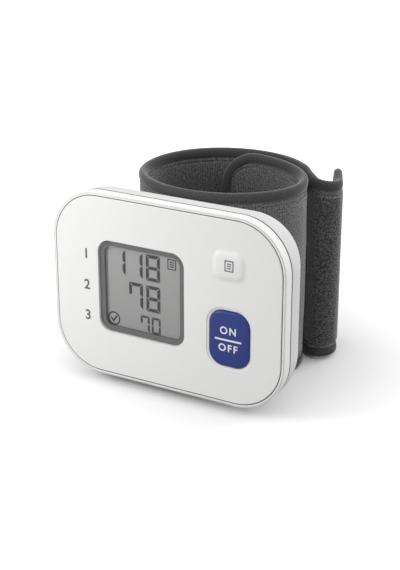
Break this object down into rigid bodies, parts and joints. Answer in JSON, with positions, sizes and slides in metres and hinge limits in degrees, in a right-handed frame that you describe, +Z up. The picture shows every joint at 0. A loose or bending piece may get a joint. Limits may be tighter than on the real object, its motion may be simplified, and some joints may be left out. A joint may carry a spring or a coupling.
{
  "type": "wrist blood pressure monitor",
  "caption": "Compact white wrist blood pressure monitor with a grey display, two push buttons and a dark fabric cuff that wraps into a ring behind it and ends in a folded tail.",
  "frame": {"origin": "on the floor under the middle of the whole, the edge of the cuff standing on the floor", "axes": "+X to the right of the display as a person reads it, +Y from the display to the back of the cuff, +Z up along the cuff's ring"},
  "size_m": [0.084, 0.0774, 0.0652],
  "materials": {
    "housing_white": "satin white moulded plastic",
    "button_blue": "smooth blue moulded plastic",
    "mask_grey": "printed grey film",
    "window_clear": "clear polished plastic pane",
    "lcd_glass": "grey reflective display",
    "natural_plastic": "natural moulded plastic",
    "black_plastic": "black moulded plastic",
    "board_green": "green solder mask",
    "rubber_black": "soft black rubber",
    "tube_clear": "soft translucent tube",
    "steel": "plain steel",
    "cell_wrap": "plain dark printed wrap, no lettering",
    "cuff_fabric": "dark grey knitted loop fabric",
    "cuff_binding": "dark grey folded stretch tape",
    "hook_fabric": "dark grey hook tape",
    "curler_sheet": "thin formed plastic sheet",
    "bladder_film": "flat grey air bag film"
  },
  "bodies": {
    "monitor": {"front_case": "housing_white", "faceplate": "housing_white", "rear_case": "housing_white", "case_screw_1": "steel", "case_screw_2": "steel", "case_screw_3": "steel", "case_screw_4": "steel", "display_window": "window_clear", "display_mask": "mask_grey", "lcd_panel": "lcd_glass", "lcd_holder": "natural_plastic", "zebra_connector": "rubber_black", "start_switch": "steel", "memory_switch": "steel", "circuit_board": "board_green", "processor_chip": "black_plastic", "board_screw_1": "steel", "board_screw_2": "steel", "pressure_sensor": "black_plastic", "battery_tray": "natural_plastic", "battery_1": "cell_wrap", "battery_2": "cell_wrap", "battery_bridge": "steel", "battery_terminal_1": "steel", "battery_terminal_2": "steel", "pump_motor": "steel", "pump_head": "natural_plastic", "pump_diaphragm": "rubber_black", "air_manifold": "natural_plastic", "valve_body": "steel", "pump_tube": "tube_clear", "cuff_tube": "tube_clear", "cuff_elbow": "natural_plastic", "cuff_sleeve_base": "cuff_fabric", "cuff_curler_base": "curler_sheet", "air_bladder": "bladder_film", "cuff_binding_base_top": "cuff_binding", "cuff_binding_base_bottom": "cuff_binding", "cuff_screw_1": "steel", "cuff_screw_2": "steel"},
    "start_button": {"start_button": "button_blue"},
    "memory_button": {"memory_button": "housing_white"},
    "start_plunger": {"start_plunger": "black_plastic"},
    "memory_plunger": {"memory_plunger": "black_plastic"},
    "battery_cover": {"battery_cover": "housing_white"},
    "pump_crank": {"pump_crank": "steel"},
    "valve_plunger": {"valve_plunger": "rubber_black"},
    "cuff_left": {"cuff_sleeve_left": "cuff_fabric", "cuff_curler_left": "curler_sheet", "cuff_binding_left_top": "cuff_binding", "cuff_binding_left_bottom": "cuff_binding"},
    "cuff_back": {"cuff_sleeve_back": "cuff_fabric", "cuff_curler_back": "curler_sheet", "cuff_binding_back_top": "cuff_binding", "cuff_binding_back_bottom": "cuff_binding"},
    "cuff_tail": {"cuff_sleeve_tail": "cuff_fabric", "cuff_binding_tail_top": "cuff_binding", "cuff_binding_tail_bottom": "cuff_binding", "hook_tape": "hook_fabric"}
  },
  "joints": [
    {"name": "start_button_press", "type": "slide", "parent": "monitor", "child": "start_button", "axis": [0, 1, 0], "range_m": [0, 0.0005], "stiffness_N_per_m": 800},
    {"name": "start_plunger_press", "type": "slide", "parent": "monitor", "child": "start_plunger", "axis": [0, 1, 0], "range_m": [0, 0.00025]},
    {"name": "memory_button_press", "type": "slide", "parent": "monitor", "child": "memory_button", "axis": [0, 1, 0], "range_m": [0, 0.0005], "stiffness_N_per_m": 800},
    {"name": "memory_plunger_press", "type": "slide", "parent": "monitor", "child": "memory_plunger", "axis": [0, 1, 0], "range_m": [0, 0.00025]},
    {"name": "battery_cover_slide", "type": "slide", "parent": "monitor", "child": "battery_cover", "axis": [-1, 0, 0], "range_m": [0, 0.016]},
    {"name": "pump_crank_spin", "type": "hinge", "parent": "monitor", "child": "pump_crank", "pos_m": [0.03, -0.02603, 0.032], "axis": [0, 0, 1], "continuous": true},
    {"name": "valve_plunger_lift", "type": "slide", "parent": "monitor", "child": "valve_plunger", "axis": [0, 0, 1], "range_m": [0, 0.0006], "stiffness_N_per_m": 100},
    {"name": "cuff_open", "type": "hinge", "parent": "monitor", "child": "cuff_left", "pos_m": [-0.02831, -0.00737, 0.0326], "axis": [0, 0, 1], "range_deg": [0, 45], "stiffness_Nm_per_rad": 0.02},
    {"name": "cuff_back_open", "type": "hinge", "parent": "cuff_left", "child": "cuff_back", "pos_m": [-0.02051, 0.02447, 0.0326], "axis": [0, 0, 1], "range_deg": [0, 45]},
    {"name": "cuff_tail_open", "type": "hinge", "parent": "cuff_back", "child": "cuff_tail", "pos_m": [0.01651, 0.02505, 0.0326], "axis": [0, 0, 1], "range_deg": [0, 30]}
  ],
  "couplings": [
    {"joint": "start_plunger_press", "follows": "start_button_press", "ratio": 0.5},
    {"joint": "memory_plunger_press", "follows": "memory_button_press", "ratio": 0.5},
    {"joint": "cuff_back_open", "follows": "cuff_open", "ratio": 1},
    {"joint": "cuff_tail_open", "follows": "cuff_open", "ratio": 0.6666}
  ]
}
